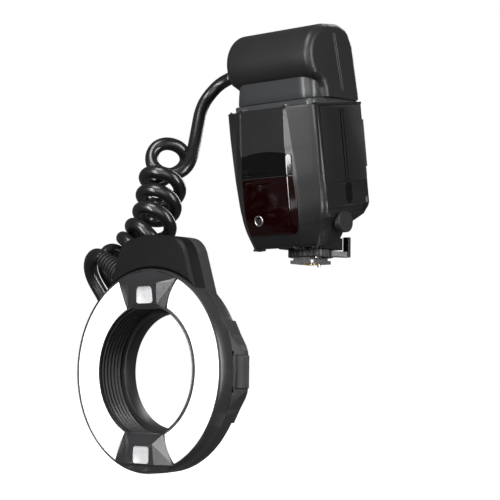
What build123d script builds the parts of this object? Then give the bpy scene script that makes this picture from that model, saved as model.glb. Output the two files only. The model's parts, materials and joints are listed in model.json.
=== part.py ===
"""Macro ring flash: a shoe-mounted control unit, a curly cord and a ring head.

Row frame, millimetres: +Z up, -Y towards the subject, +X to the right as
seen from the subject's side turned round (the battery door's side).
The origin is the centre of the shoe foot's underside.
"""
import os
from math import atan2, cos, degrees, pi, radians, sin, sqrt, tan

from build123d import *

os.makedirs("parts", exist_ok=True)

# ---------------------------------------------------------------- dimensions
RING_Y = -138.0        # front plane of the ring (outer edge of the diffusers)
RING_Z = -66.0         # lens axis below the foot's underside
R_BORE = 34.6          # clear radius through the ribbed sleeve
R_OUT = 55.2           # outer radius of the ring housing
R_DIFF = 53.6          # outer radius of the diffusers
RING_D = 20.0          # depth of the ring housing
SEAM_D = 10.2          # seam between front frame and rear cover
WALL = 1.5             # housing wall
WEDGE = 24.5           # half angle of the dark segments, degrees
R_THREAD = 33.5        # adapter ring's male filter thread, M67 x 0.75
L_THREAD = 4.0
HUMP_D0 = 2.2          # front face of the hump
HUMP_D1 = 11.4         # seam of the hump's two halves

TILT = 9.0             # the control unit leans forward by this much
W2 = 33.8              # half width of the control unit
Y_RIDGE = -24.6        # where the flat sides end and the front corners begin
Y_REAR = 22.6          # rear face
H_TOP = 94.6           # top of the body casing, under the neck
H_HEAD = 141.5         # top of the head barrel
UW = 1.8               # casing wall of the unit
Y_SPLIT = -22.0        # split between front and rear casings

FOOT_W = 18.5          # shoe foot, ISO 518
FOOT_T = 2.0
STEM_W = 12.2

D_CORD = 7.6           # cord
D_COIL = 28.6          # outside of the curly stretch

t9 = radians(TILT)
# planes on the leaning unit: x, depth (y'), height (z')
U = Plane(origin=(0, 0, 0), x_dir=(1, 0, 0), z_dir=(0, -sin(t9), cos(t9)))
FU = Plane(origin=(0, 0, 0), x_dir=(1, 0, 0), z_dir=(0, -cos(t9), -sin(t9)))   # faces forward
BU = Plane(origin=(0, 0, 0), x_dir=(-1, 0, 0), z_dir=(0, cos(t9), sin(t9)))    # faces back
SU = Plane(origin=(0, 0, 0), x_dir=(0, cos(t9), sin(t9)), z_dir=(1, 0, 0))     # faces +X: (y', z')
# planes on the ring: front view (x, up), and radial section (radius, depth)
RF = Plane(origin=(0, RING_Y, RING_Z), x_dir=(1, 0, 0), z_dir=(0, -1, 0))
RV = Plane(origin=(0, RING_Y, RING_Z), x_dir=(1, 0, 0), z_dir=(0, 0, 1))
RAX = Axis((0, RING_Y, RING_Z), (0, 1, 0))


def uy(y, z):
    """World point of the unit's (x=0, y', z')."""
    return (0, y * cos(t9) - z * sin(t9), y * sin(t9) + z * cos(t9))


def finish(bp, label):
    bp.part.label = label
    export_step(bp.part, "parts/" + label + ".step")
    print(f"{label:26s} solids {len(bp.part.solids())}  volume {bp.part.volume:10.1f}")


# =================================================================== the unit
# closed blank of the unit's body, outside and inside (not pieces themselves)
def body_section(yf, xf, yc, xc, yr_, wr, ys, w, yb, xb):
    right = [(xf, yf), (xc, yc), (wr, yr_), (w, ys), (w, yb - 2.6), (xb, yb)]
    return right + [(-x, y) for x, y in reversed(right)]


LEVELS = [  # height, then pairs of y' and half width: panel, crease beside it, ridge, start of the flat side, rear
    (12.0, -30.5, 15.0, -29.0, 18.0, -20.5, 26.0, -15.0, 28.0, -4.0, 26.0),
    (22.0, -33.9, 16.4, -31.4, 21.0, -22.2, 28.4, -16.8, 31.4, 0.8, 28.8),
    (28.0, -35.0, 17.2, -32.2, 22.2, -22.9, 29.9, -18.6, W2, 15.6, 31.0),
    (34.0, -35.5, 17.7, -32.6, 22.8, -23.4, 30.9, -19.8, W2, Y_REAR, 31.2),
    (54.0, -35.6, 17.5, -33.3, 23.5, -24.0, 32.3, -20.8, W2, Y_REAR, 31.2),
    (73.0, -34.4, 16.8, -33.0, 21.6, -24.3, 33.0, -21.2, W2, Y_REAR, 31.2),
    (H_TOP, -32.4, 16.5, -32.0, 18.7, Y_RIDGE, 33.6, -21.6, W2, Y_REAR, 31.2),
]
with BuildPart() as body_blank:
    for lv in LEVELS:
        with BuildSketch(U.offset(lv[0])):
            Polygon(*body_section(*lv[1:]), align=None)
    loft(ruled=True)

with BuildPart() as body_core:
    for h, yf, xf, yc, xc, yr_, wr, ys, w, yb, xb in LEVELS:
        hh = h + UW if h == 12.0 else (h - UW if h == H_TOP else h)
        with BuildSketch(U.offset(hh)):
            Polygon(*body_section(yf + UW, xf - 0.6, yc + UW, xc - 0.9, yr_ + 0.9, wr - UW, ys + 0.5, w - UW, yb - UW, xb - 0.9), align=None)
    loft(ruled=True)

# ---- front windows (thin skins let into the front casing)
WIN_X = 16.4
WIN_T = 1.0
with BuildPart() as front_window:
    with BuildSketch(FU.offset(30)):
        with BuildLine():
            Polyline((WIN_X, 66.6), (WIN_X, 54.4), (-WIN_X, 54.4), (-WIN_X, 66.6))
            ThreePointArc((-WIN_X, 66.6), (0, 69.4), (WIN_X, 66.6))
        make_face()
    extrude(amount=12)
    add(body_blank.part, mode=Mode.INTERSECT)
    with BuildSketch(FU.offset(20)):
        with Locations((0, 60)):
            Rectangle(60, 40)
    extrude(amount=33.3 - 20, mode=Mode.SUBTRACT)
finish(front_window, "front_window")

with BuildPart() as red_window:
    with BuildSketch(FU.offset(28)):
        with BuildLine():
            Polyline((WIN_X, 54.1), (WIN_X - 0.6, 20.0), (-WIN_X + 0.6, 20.0), (-WIN_X, 54.1), close=True)
        make_face()
        with Locations((-7.0, 29.2)):
            Circle(3.3, mode=Mode.SUBTRACT)
    extrude(amount=14)
    add(body_blank.part, mode=Mode.INTERSECT)
    with BuildSketch(FU.offset(20)):
        with Locations((0, 37)):
            Rectangle(60, 40)
    extrude(amount=31.8 - 20, mode=Mode.SUBTRACT)
finish(red_window, "red_window")

with BuildPart() as sensor_bezel:
    with BuildSketch(FU.offset(31.4)):
        with Locations((-7.0, 29.2)):
            Circle(3.3)
            Circle(2.4, mode=Mode.SUBTRACT)
    extrude(amount=4.5)
finish(sensor_bezel, "sensor_bezel")

with BuildPart() as sensor_lens:
    with BuildSketch(FU.offset(31.0)):
        with Locations((-7.0, 29.2)):
            Circle(2.4)
    extrude(amount=4.5)
finish(sensor_lens, "sensor_lens")

# ---- front casing
with BuildPart() as front_casing:
    add(body_blank.part)
    add(body_core.part, mode=Mode.SUBTRACT)
    split(bisect_by=FU.offset(-Y_SPLIT), keep=Keep.TOP)
    add(front_window.part, mode=Mode.SUBTRACT)
    add(red_window.part, mode=Mode.SUBTRACT)
    add(sensor_bezel.part, mode=Mode.SUBTRACT)
    add(sensor_lens.part, mode=Mode.SUBTRACT)
finish(front_casing, "front_casing")

# ---- battery door opening and pocket measures, on the +X side
DOOR_Y0, DOOR_Y1 = -19.6, 19.0
DOOR_Z0, DOOR_Z1 = 40.0, 93.0
DOOR_T = 2.4
SKIRT_Z, SKIRT_T = 33.2, 1.2     # thin lower edge of the door, below its full thickness
DOOR_TRAVEL = 3.0
CAGE_Y0, CAGE_Y1 = -17.4, 13.4
HINGE_X, HINGE_Y = W2 - 1.3, 20.3
SCREWS = [(-27, 38), (27, 38), (-27, 90), (27, 90)]
CAGE_Z0, CAGE_Z1 = 54.0, 86.0

# ---- rear casing
with BuildPart() as rear_casing:
    add(body_blank.part)
    add(body_core.part, mode=Mode.SUBTRACT)
    split(bisect_by=FU.offset(-Y_SPLIT), keep=Keep.BOTTOM)
    # recess for the door, right through the wall over the battery bay
    with BuildSketch(SU.offset(W2 - DOOR_T)):
        with Locations(((DOOR_Y0 + DOOR_Y1) / 2, (DOOR_Z0 - DOOR_TRAVEL + DOOR_Z1) / 2)):
            Rectangle(DOOR_Y1 - DOOR_Y0 + 0.8, DOOR_Z1 - DOOR_Z0 + DOOR_TRAVEL + 0.8)
    extrude(amount=6, mode=Mode.SUBTRACT)
    # shallow step below it for the door's skirt
    with BuildSketch(SU.offset(W2 - SKIRT_T - 0.2)):
        with BuildLine():
            Polyline((DOOR_Y0 - 0.4, SKIRT_Z - DOOR_TRAVEL - 0.3), (13.4, SKIRT_Z - DOOR_TRAVEL - 0.3), (DOOR_Y1 + 0.4, 35.8),
                     (DOOR_Y1 + 0.4, 42), (DOOR_Y0 - 0.4, 42), close=True)
        make_face()
    extrude(amount=6, mode=Mode.SUBTRACT)
    with BuildSketch(SU.offset(W2 - 6)):
        with Locations(((CAGE_Y0 + CAGE_Y1) / 2, (CAGE_Z0 + CAGE_Z1) / 2)):
            Rectangle(CAGE_Y1 - CAGE_Y0 + 0.1, CAGE_Z1 - CAGE_Z0 + 0.1)
    extrude(amount=12, mode=Mode.SUBTRACT)
    # ledge that carries the door at the foot of the recess
    with BuildSketch(SU.offset(W2 - DOOR_T - UW)):
        with Locations(((DOOR_Y0 + DOOR_Y1) / 2, 43.75)):
            Rectangle(DOOR_Y1 - DOOR_Y0 + 3.0, 19.5)
        with Locations(((DOOR_Y0 + DOOR_Y1) / 2, 90.0)):
            Rectangle(DOOR_Y1 - DOOR_Y0 + 3.0, 7.9)
    extrude(amount=UW)
    # display window, buttons and switch on the back
    with BuildSketch(BU.offset(Y_REAR - 4)):
        with Locations((0, 75)):
            Rectangle(40, 26)
    extrude(amount=8, mode=Mode.SUBTRACT)
    with BuildSketch(BU.offset(Y_REAR - 4)):
        with Locations((-20, 54), (-7, 54), (7, 54)):
            RectangleRounded(8.6, 5.2, 2.2)
        with Locations((20, 54)):
            Circle(3.5)
        with Locations((-12, 43)):
            RectangleRounded(8.6, 5.2, 2.2)
        with Locations((12, 43)):
            RectangleRounded(15, 4.6, 2.0)
    extrude(amount=8, mode=Mode.SUBTRACT)
    # post and round channel for the door's hinge pin
    with BuildSketch(U.offset(36)):
        with Locations((29.8, 19.3)):
            Rectangle(2.8, 3.6)
    extrude(amount=57)
    with BuildSketch(U.offset(33)):
        with Locations((HINGE_X, HINGE_Y)):
            Circle(2.2)
    extrude(amount=60.4, mode=Mode.SUBTRACT)
    # screw holes
    with BuildSketch(BU.offset(Y_REAR - 1.25)):
        with Locations(*SCREWS):
            Circle(1.95)
    extrude(amount=3, mode=Mode.SUBTRACT)
    with BuildSketch(BU.offset(Y_REAR - 6)):
        with Locations(*SCREWS):
            Circle(1.0)
    extrude(amount=6, mode=Mode.SUBTRACT)
    # seat of the side terminal
    with BuildSketch(SU.offset(22)):
        with Locations((-9.0, 24.5)):
            Circle(5.0)
    extrude(amount=20, mode=Mode.SUBTRACT)
    # openings for the head leads
finish(rear_casing, "rear_casing")

# ---- display
with BuildPart() as display_window:
    with BuildSketch(BU.offset(Y_REAR - UW)):
        with Locations((0, 75)):
            Rectangle(40, 26)
    extrude(amount=UW)
finish(display_window, "display_window")

with BuildPart() as display_module:
    with BuildSketch(BU.offset(Y_REAR - UW - 3.0)):
        with Locations((0, 75)):
            Rectangle(44, 19)
    extrude(amount=2.9)
finish(display_module, "display_module")

# ---- keypad pieces: cap outside, stalk through the wall, collar inside
def key(label, x, z, w, h, r):
    with BuildPart() as k:
        with BuildSketch(BU.offset(Y_REAR - UW - 0.6)):
            with Locations((x, z)):
                if r is None:
                    Circle(w / 2)
                else:
                    RectangleRounded(w, h, r)
        extrude(amount=UW + 0.6 + 1.4)
    finish(k, label)


key("mode_button", -20, 54, 8.0, 4.6, 1.9)
key("minus_button", -7, 54, 8.0, 4.6, 1.9)
key("plus_button", 7, 54, 8.0, 4.6, 1.9)
key("test_button", 20, 54, 6.4, 6.4, None)
key("lamp_button", -12, 43, 8.0, 4.6, 1.9)

with BuildPart() as power_switch:
    with BuildSketch(BU.offset(Y_REAR - UW - 0.6)):
        with Locations((14.6, 43)):
            RectangleRounded(8.0, 4.0, 1.6)
    extrude(amount=UW + 0.6 + 1.6)
    with BuildSketch(BU.offset(Y_REAR + 1.6)):
        with Locations((12.6, 43), (14.6, 43), (16.6, 43)):
            Rectangle(0.7, 3.2)
    extrude(amount=0.5)
finish(power_switch, "power_switch")

# ---- boards and power parts
with BuildPart() as main_board:
    with BuildSketch(FU.offset(26.0)):
        with Locations((0, 62)):
            Rectangle(40, 58)
        with Locations((-14, 40), (14, 40), (-14, 86), (14, 86)):
            Circle(1.2, mode=Mode.SUBTRACT)
    extrude(amount=1.6)
    with BuildSketch(FU.offset(24.2)):
        with Locations((-8, 70)):
            Rectangle(12, 12)
        with Locations((9, 52)):
            Rectangle(9, 7)
    extrude(amount=1.8)
finish(main_board, "main_board")

with BuildPart() as assist_lamp:
    with BuildSketch(FU.offset(28.0)):
        with Locations((6.0, 44.0)):
            Circle(3.0)
    extrude(amount=3.6)
finish(assist_lamp, "assist_lamp")

with BuildPart() as key_board:
    with BuildSketch(BU.offset(Y_REAR - UW - 3.1)):
        with Locations((0, 47.5)):
            Rectangle(50, 15.5)
    extrude(amount=1.2)
finish(key_board, "key_board")

with BuildPart() as charging_transformer:
    with BuildSketch(U.offset(32)):
        with Locations((-14, -10)):
            Rectangle(18, 16)
    extrude(amount=15)
finish(charging_transformer, "charging_transformer")

# ---- batteries
CELL_R, CELL_L = 7.1, 50.0
CELLS = [((CAGE_Y0 + CAGE_Y1) / 2 + a * 7.5, (CAGE_Z0 + CAGE_Z1) / 2 + b * 7.5) for a in (-1, 1) for b in (-1, 1)]
CAGE_X0 = -22.5
with BuildPart() as battery_cage:
    with BuildSketch(SU.offset(CAGE_X0)):
        with Locations(((CAGE_Y0 + CAGE_Y1) / 2, (CAGE_Z0 + CAGE_Z1) / 2)):
            Rectangle(CAGE_Y1 - CAGE_Y0, CAGE_Z1 - CAGE_Z0)
    extrude(amount=W2 - DOOR_T - 0.6 - CAGE_X0)
    with BuildSketch(SU.offset(CAGE_X0 + 1.6)):
        with Locations(*CELLS):
            Circle(7.35)
    extrude(amount=80, mode=Mode.SUBTRACT)
finish(battery_cage, "battery_cage")

with BuildPart() as battery_cells:
    with BuildSketch(SU.offset(CAGE_X0 + 2.9)):
        with Locations(*CELLS):
            Circle(CELL_R)
    extrude(amount=CELL_L - 1.2)
    with BuildSketch(SU.offset(CAGE_X0 + 2.9 + CELL_L - 1.2)):
        with Locations(*CELLS):
            Circle(2.7)
    extrude(amount=1.2)
finish(battery_cells, "battery_cells")

with BuildPart() as bay_contacts:
    with BuildSketch(SU.offset(CAGE_X0 + 1.6)):
        with Locations(*CELLS):
            Circle(4.5)
    extrude(amount=0.4)
    with BuildSketch(SU.offset(CAGE_X0 + 2.0)):
        with Locations(*CELLS):
            Circle(2.2)
    extrude(amount=0.9)
finish(bay_contacts, "bay_contacts")

# ---- battery door: panel with grip groove, rib and foil contacts
with BuildPart() as battery_door:
    with BuildSketch(SU.offset(W2 - DOOR_T + 0.3)):
        with Locations(((DOOR_Y0 + DOOR_Y1) / 2, (DOOR_Z0 + DOOR_Z1) / 2)):
            Rectangle(DOOR_Y1 - DOOR_Y0, DOOR_Z1 - DOOR_Z0)
    extrude(amount=DOOR_T - 0.2)
    # thin skirt below the full thickness, set back a little
    with BuildSketch(SU.offset(W2 - SKIRT_T + 0.1)):
        with BuildLine():
            Polyline((DOOR_Y0, SKIRT_Z), (12.6, SKIRT_Z), (DOOR_Y1, 39.2), (DOOR_Y1, 42), (DOOR_Y0, 42), close=True)
        make_face()
    extrude(amount=SKIRT_T)
    with BuildSketch(SU.offset(W2 - 0.35)):
        with Locations(((DOOR_Y0 + DOOR_Y1) / 2, 40.0)):
            Rectangle(DOOR_Y1 - DOOR_Y0 + 2, 16.0)
    extrude(amount=3, mode=Mode.SUBTRACT)
    # upright thumb slot, and the pair of grooves above it
    with BuildSketch(SU.offset(W2 - 0.8)):
        with Locations((1.4, 41.0)):
            SlotOverall(13.0, 6.4, rotation=90)
        with Locations((-1.0, 69.6)):
            Rectangle(0.9, 43)
        with Locations((1.6, 69.6)):
            Rectangle(0.7, 43)
    extrude(amount=3, mode=Mode.SUBTRACT)
    # hinge knuckle along the door's rear edge
    with BuildSketch(U.offset(56)):
        with Locations((HINGE_X, HINGE_Y)):
            Circle(1.2)
        with Locations((HINGE_X + 0.1, DOOR_Y1 + 0.1)):
            Rectangle(1.6, 1.0)
        with Locations((HINGE_X, HINGE_Y)):
            Circle(0.65, mode=Mode.SUBTRACT)
    extrude(amount=28)
finish(battery_door, "battery_door")

with BuildPart() as door_contacts:
    with BuildSketch(SU.offset(W2 - DOOR_T - 0.3)):
        with Locations(((CAGE_Y0 + CAGE_Y1) / 2, (CAGE_Z0 + CAGE_Z1) / 2 - 7.5), ((CAGE_Y0 + CAGE_Y1) / 2, (CAGE_Z0 + CAGE_Z1) / 2 + 7.5)):
            Rectangle(22, 6)
    extrude(amount=0.6)
finish(door_contacts, "door_contacts")

with BuildPart() as door_hinge_pin:
    with BuildSketch(U.offset(50.2)):
        with Locations((HINGE_X, HINGE_Y)):
            Circle(0.6)
    extrude(amount=39)
finish(door_hinge_pin, "door_hinge_pin")

# ---- neck and head
HY, HZ, HR = -5.6, 122.4, 19.1      # barrel axis and radius, on the unit
def head_profile(r, inset):
    """Side view of the head: a barrel in front, a wedge-shaped back and cheeks that reach down behind it."""
    a1, a2 = radians(78), radians(216)
    p1 = (HY + r * cos(a1), HZ + r * sin(a1))
    p2 = (HY + r * cos(a2), HZ + r * sin(a2))
    ThreePointArc(p1, (HY - r, HZ), p2)
    Polyline(p2, (-13.6 + inset, 106.0 + inset * 0.4), (-13.0 + inset, 98.5 + inset), (21.2 - inset, 95.4 + inset), (18.6 - inset, 128.0),
             (16.2 - inset * 0.8, 134.6 - inset * 0.5), (11.0 - inset * 0.4, 139.6 - inset), p1)


with BuildPart() as head_blank:
    with BuildSketch(SU.offset(-33.4)):
        with BuildLine():
            head_profile(HR, 0.0)
        make_face()
    extrude(amount=66.8)
    fillet(head_blank.faces().filter_by(GeomType.PLANE).sort_by(Axis.X)[0].outer_wire().edges(), 2.2)
    fillet(head_blank.faces().filter_by(GeomType.PLANE).sort_by(Axis.X)[-1].outer_wire().edges(), 2.2)

with BuildPart() as neck_collar:
    # low ring under the head, its upper face leaning with the head's lower edge
    with BuildSketch(U.offset(H_TOP + 0.1)):
        Polygon((-21.5, -23), (21.5, -23), (30.4, -14.8), (31.6, -13.2), (31.6, 20.4), (-31.6, 20.4), (-31.6, -13.2), (-30.4, -14.8), align=None)
    extrude(amount=6.0)
    with BuildSketch(SU.offset(-40)):
        Polygon((-12.9, 98.4), (21.3, 95.3), (24.0, 95.05), (24.0, 110), (-12.9, 110), align=None)
    extrude(amount=80, mode=Mode.SUBTRACT)
    with BuildSketch(U.offset(98.4)):
        with Locations((0, -18)):
            Rectangle(80, 10.1)
    extrude(amount=6, mode=Mode.SUBTRACT)
    # rounded front wall under the barrel
    with BuildSketch(U.offset(98.3)):
        Polygon((-21.5, -22.4), (21.5, -22.4), (30.2, -14.4), (30.2, -13.1), (-30.2, -13.1), (-30.2, -14.4), align=None)
    with BuildSketch(U.offset(114.0)):
        Polygon((-20.5, -20.6), (20.5, -20.6), (28.6, -13.8), (28.6, -13.1), (-28.6, -13.1), (-28.6, -13.8), align=None)
    loft(ruled=True)
    add(head_blank.part, mode=Mode.SUBTRACT)
    with BuildSketch(U.offset(H_TOP - 1)):
        with Locations((0, 3)):
            Rectangle(44, 26)
    extrude(amount=14, mode=Mode.SUBTRACT)
finish(neck_collar, "neck_collar")

with BuildPart() as head_core:
    with BuildSketch(SU.offset(-31.6)):
        with BuildLine():
            head_profile(HR - UW, UW)
        make_face()
    extrude(amount=63.2)

with BuildPart() as head_front_cover:
    add(head_blank.part)
    add(head_core.part, mode=Mode.SUBTRACT)
    split(bisect_by=FU.offset(1.9), keep=Keep.TOP)
    with BuildSketch(SU.offset(-40)):
        with Locations((-8.0, 118.0)):
            Circle(4.6)
    extrude(amount=12, mode=Mode.SUBTRACT)
finish(head_front_cover, "head_front_cover")

with BuildPart() as head_rear_cover:
    add(head_blank.part)
    add(head_core.part, mode=Mode.SUBTRACT)
    split(bisect_by=FU.offset(1.9), keep=Keep.BOTTOM)
    with BuildSketch(U.offset(94)):
        with Locations((0, 3.5)):
            Rectangle(40, 8)
    extrude(amount=7, mode=Mode.SUBTRACT)
finish(head_rear_cover, "head_rear_cover")

with BuildPart() as main_capacitor:
    with BuildSketch(SU.offset(-18)):
        with Locations((HY, HZ)):
            Circle(13.5)
    extrude(amount=46)
    fillet(main_capacitor.edges().filter_by(GeomType.CIRCLE), 1.2)
finish(main_capacitor, "main_capacitor")

GX, GY, GZ = uy(-8.0, 118.0)
with BuildPart() as cord_gland:
    with BuildSketch(Plane(origin=(-30.6, GY, GZ), x_dir=(0, 1, 0), z_dir=(-1, 0, 0))):
        Circle(6.0)
    extrude(amount=1.2 - 0.2)
    with BuildSketch(Plane(origin=(-29.6, GY, GZ), x_dir=(0, 1, 0), z_dir=(-1, 0, 0))):
        Circle(4.6)
    extrude(amount=6.0)
    with BuildSketch(Plane(origin=(-33.5, GY, GZ), x_dir=(0, 1, 0), z_dir=(-1, 0, 0))):
        Circle(5.8)
    with BuildSketch(Plane(origin=(-41.0, GY, GZ), x_dir=(0, 1, 0), z_dir=(-1, 0, 0))):
        Circle(4.6)
    loft()
finish(cord_gland, "cord_gland")

# ---- side terminal
with BuildPart() as side_terminal:
    with BuildSketch(SU.offset(18)):
        with Locations((-9.0, 24.5)):
            Circle(4.9)
            Circle(2.8, mode=Mode.SUBTRACT)
    extrude(amount=17.0)
    with BuildSketch(SU.offset(18)):
        with Locations((-9.0, 24.5)):
            Circle(2.9)
    extrude(amount=2.0)
finish(side_terminal, "side_terminal")

with BuildPart() as terminal_cap:
    with BuildSketch(SU.offset(35.3)):
        with Locations((-9.0, 24.5)):
            Circle(6.2)
    extrude(amount=2.2)
    with BuildSketch(SU.offset(30.5)):
        with Locations((-9.0, 24.5)):
            Circle(2.5)
    extrude(amount=4.9)
finish(terminal_cap, "terminal_cap")

# ---- foot: base block, lock lever, plate, pins
with BuildPart() as foot_base:
    with BuildSketch(Plane.XY.offset(8.8)):
        with Locations((0, 0)):
            RectangleRounded(30, 28, 3)
    extrude(amount=7.0)
    with BuildSketch(Plane.XY.offset(15.0)):
        with Locations((0, -2)):
            RectangleRounded(27, 22, 3)
    extrude(amount=16)
    add(body_blank.part, mode=Mode.SUBTRACT)
    with Locations((0, 0, 20)):
        Cylinder(2.0, 40, mode=Mode.SUBTRACT)
    with BuildSketch(Plane.XY.offset(6)):
        with Locations((0, 7.1)):
            Circle(1.4)
    extrude(amount=8, mode=Mode.SUBTRACT)
    with BuildSketch(SU.offset(16)):
        with Locations((-9.0, 24.5)):
            Circle(5.1)
    extrude(amount=20, mode=Mode.SUBTRACT)
finish(foot_base, "foot_base")

with BuildPart() as lock_lever:
    with BuildSketch(Plane.XY.offset(4.0)):
        Circle(13.6)
        Circle(6.9, mode=Mode.SUBTRACT)
        with PolarLocations(13.9, 24):
            Circle(0.6, mode=Mode.SUBTRACT)
    extrude(amount=4.4)
    with BuildSketch(Plane.XY.offset(4.6)):
        with BuildLine():
            Polyline((6.4, 9.6), (12.6, 4.2), (17.6, 13.4), (14.6, 18.6), (11.6, 18.6), close=True)
        make_face()
    extrude(amount=3.2)
    with BuildSketch(Plane.XY.offset(4.6)):
        with Locations((14.2, 17.2)):
            RectangleRounded(4.6, 2.4, 0.6)
    extrude(amount=12.2)
    # cam ramp pocket that the lock pin's head rides in
    with BuildSketch(Plane.XY.offset(3.9)):
        Circle(9.1)
        Circle(6.9, mode=Mode.SUBTRACT)
    extrude(amount=3.2, mode=Mode.SUBTRACT)
finish(lock_lever, "lock_lever")

with BuildPart() as foot_plate:
    with BuildSketch(Plane.XY):
        Rectangle(FOOT_W, FOOT_W)
    extrude(amount=FOOT_T)
    chamfer(foot_plate.edges().filter_by(Axis.Z), 1.2)
    with BuildSketch(Plane.XY.offset(FOOT_T)):
        Rectangle(STEM_W, FOOT_W - 0.6)
    extrude(amount=1.7)
    with BuildSketch(Plane.XY.offset(3.6)):
        Circle(6.7)
    extrude(amount=5.2)
    with Locations((0, 0, 0)):
        Cylinder(1.25, 20, mode=Mode.SUBTRACT)
    with Locations((-4.0, -1.6, 0), (4.0, -1.6, 0), (-4.0, 3.0, 0), (4.0, 3.0, 0)):
        Cylinder(0.85, 20, mode=Mode.SUBTRACT)
    with Locations((0, 7.9, 0)):
        Cylinder(1.05, 24, mode=Mode.SUBTRACT)
finish(foot_plate, "foot_plate")

with BuildPart() as contact_pins:
    with BuildSketch(Plane.XY.offset(-0.5)):
        Circle(1.15)
        with Locations((-4.0, -1.6), (4.0, -1.6), (-4.0, 3.0), (4.0, 3.0)):
            Circle(0.75)
    extrude(amount=7.0)
finish(contact_pins, "contact_pins")

with BuildPart() as lock_pin:
    with BuildSketch(Plane.XY.offset(-1.3)):
        with Locations((0, 7.9)):
            Circle(1.0)
    extrude(amount=5.4)
finish(lock_pin, "lock_pin")

# ---- screws of the casings: identical, one node
with BuildPart() as casing_screws:
    with BuildSketch(BU.offset(Y_REAR - 1.2)):
        with Locations(*SCREWS):
            Circle(1.9)
    extrude(amount=1.0)
    with BuildSketch(BU.offset(Y_REAR - 8.0)):
        with Locations(*SCREWS):
            Circle(0.95)
    extrude(amount=6.8)
finish(casing_screws, "casing_screws")

# =================================================================== the ring
def ring_pt(r, a_deg):
    """Front view point at radius r, angle from +X, anticlockwise seen from the front."""
    return (r * cos(radians(a_deg)), r * sin(radians(a_deg)))


def sector(r0, r1, a0, a1):
    """Closed wire of a ring sector in the current sketch."""
    m = (a0 + a1) / 2
    ThreePointArc(ring_pt(r1, a0), ring_pt(r1, m), ring_pt(r1, a1))
    Line(ring_pt(r1, a1), ring_pt(r0, a1))
    ThreePointArc(ring_pt(r0, a1), ring_pt(r0, m), ring_pt(r0, a0))
    Line(ring_pt(r0, a0), ring_pt(r1, a0))


def hump_outline(inset):
    """Outline of the hump above the ring, in the front view."""
    i = inset
    foot = (34.5 - i * 1.1, 40.0)
    low, mid, top = (26.67 - 1.05 * i, 63.49 - 0.35 * i), (23.0 - 0.8 * i, 69.13 - 0.8 * i), (17.0 - 0.6 * i, 72.25 - i)
    Line((-foot[0], foot[1]), (-low[0], low[1]))
    ThreePointArc((-low[0], low[1]), (-mid[0], mid[1]), (-top[0], top[1]))
    ThreePointArc((-top[0], top[1]), (0, 73.8 - i), top)
    ThreePointArc(top, mid, low)
    Line(low, foot)
    Line(foot, (-foot[0], foot[1]))


BTN_Z = 8.6            # half length of a release button
BTN_D0, BTN_D1 = 11.7, 17.3
BTN_X = 60.0           # outer face at rest
BTN_TRAVEL = 2.0
SL_D0, SL_D1 = 16.2, 17.1    # the latch plates' depth

# ---- front frame: outer rim, inner rim and the two dark segments
with BuildPart() as front_frame:
    with BuildSketch(RV):
        with BuildLine():
            Polyline((R_DIFF + 0.1, 0.9), (R_DIFF + 0.5, 0.2), (54.4, 0.0), (R_OUT, 1.2), (R_OUT, SEAM_D), (R_OUT - WALL, SEAM_D), (R_DIFF + 0.1, 2.8), close=True)
        make_face()
    revolve(axis=RAX)
    with BuildSketch(RV):
        with BuildLine():
            Polyline((36.75, 3.0), (36.75, 0.6), (36.3, -0.4), (35.6, -0.7), (35.4, 0.2), (35.4, 1.2), (36.1, 1.2), (36.1, 3.0), close=True)
        make_face()
    revolve(axis=RAX)
    for mid in (90, 270):
        with BuildSketch(RF.offset(-2.9)):
            with BuildLine():
                sector(36.2, R_DIFF + 0.3, mid - WEDGE, mid + WEDGE)
            make_face()
        extrude(amount=2.9)
    # raised faceted frustum round the upper lamp window, its face turned to the axis
    for base, top in (
        (((-22.2, 49.6), (22.2, 49.6), (14.9, 33.2), (-14.9, 33.2)), ((-10.4, 47.0, 3.4), (10.4, 47.0, 3.4), (9.0, 35.9, 1.2), (-9.0, 35.9, 1.2))),
        (((-22.2, -49.6), (22.2, -49.6), (14.9, -33.2), (-14.9, -33.2)), ((-10.4, -50.0, 2.6), (10.4, -50.0, 2.6), (8.8, -39.0, 2.6), (-8.8, -39.0, 2.6))),
    ):
        b3 = [RF.from_local_coords((x, z, -0.2)) for x, z in base]
        t3 = [RF.from_local_coords(p) for p in top]
        faces = [Face(Wire.make_polygon(b3, close=True)), Face(Wire.make_polygon(t3, close=True))]
        for k in range(4):
            q = [b3[k], b3[(k + 1) % 4], t3[(k + 1) % 4], t3[k]]
            faces.append(Face(Wire.make_polygon([q[0], q[1], q[2]], close=True)))
            faces.append(Face(Wire.make_polygon([q[0], q[2], q[3]], close=True)))
        add(Solid(Shell(faces)))
    # windows for the lamps
    with BuildSketch(RF.offset(-3.5)):
        with Locations((0, 40.95), (0, -45.0)):
            RectangleRounded(12.6, 9.4, 2.0)
    extrude(amount=9, mode=Mode.SUBTRACT)
finish(front_frame, "front_frame")

# ---- diffusers: two frosted C-shaped covers, slightly domed
for label, mid in (("diffuser_left", 180), ("diffuser_right", 0)):
    with BuildPart() as dome:
        with BuildSketch(RV):
            with BuildLine():
                ThreePointArc((R_DIFF, 0.6), (45.2, -1.1), (36.9, 0.3))
                Polyline((36.9, 0.3), (36.9, 1.9), (R_DIFF, 2.2), (R_DIFF, 0.6))
            make_face()
        revolve(axis=RAX)
    with BuildPart() as diffuser:
        with BuildSketch(RF.offset(-4)):
            with BuildLine():
                sector(36.0, R_DIFF + 1.5, mid - 90 + WEDGE + 0.15, mid + 90 - WEDGE - 0.15)
            make_face()
        extrude(amount=8)
        add(dome.part, mode=Mode.INTERSECT)
    finish(diffuser, label)

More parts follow.
